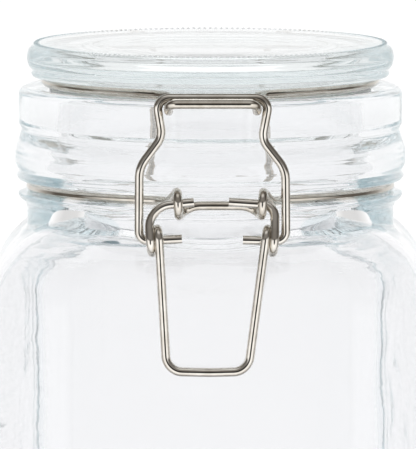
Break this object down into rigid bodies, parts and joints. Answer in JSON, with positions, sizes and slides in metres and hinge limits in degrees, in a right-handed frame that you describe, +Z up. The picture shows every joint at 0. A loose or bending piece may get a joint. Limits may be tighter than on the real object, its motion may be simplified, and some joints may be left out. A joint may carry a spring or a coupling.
{
  "type": "clip-top storage jar",
  "caption": "Square clear glass storage jar with a round ribbed neck, a hinged pressed glass lid on a clear seal, and a bent wire over-centre clasp.",
  "frame": {"origin": "on the jar's upright axis, at the level the base stands on", "axes": "+Z up through the lid, -Y towards the clasp, +Y towards the lid's hinge, X across"},
  "size_m": [0.111, 0.1165, 0.15],
  "materials": {
    "jar_glass": "fire-polished soda-lime glass, faintly aqua where thick",
    "lid_glass": "pressed soda-lime glass",
    "clear_seal": "clear moulded elastomer",
    "ring_wire": "bright nickel-plated drawn wire",
    "clasp_wire": "bright nickel-plated drawn wire"
  },
  "bodies": {
    "jar": {"glass_jar": "jar_glass", "neck_wire": "ring_wire"},
    "lid": {"glass_lid": "lid_glass", "seal_gasket": "clear_seal", "lid_wire": "ring_wire"},
    "lever": {"clamp_lever": "clasp_wire"},
    "link": {"clamp_link": "clasp_wire"}
  },
  "joints": [
    {"name": "lid_hinge", "type": "hinge", "parent": "jar", "child": "lid", "pos_m": [0, 0.0533, 0.1137], "axis": [-1, 0, 0], "range_deg": [0, 110]},
    {"name": "lever_pivot", "type": "hinge", "parent": "jar", "child": "lever", "pos_m": [0, -0.0525, 0.1137], "axis": [-1, 0, 0], "range_deg": [0, 110]},
    {"name": "link_pivot", "type": "hinge", "parent": "lever", "child": "link", "pos_m": [0, -0.0526, 0.1045], "axis": [1, 0, 0], "range_deg": [0, 110]}
  ],
  "couplings": [
    {"joint": "link_pivot", "follows": "lever_pivot", "ratio": 1}
  ]
}
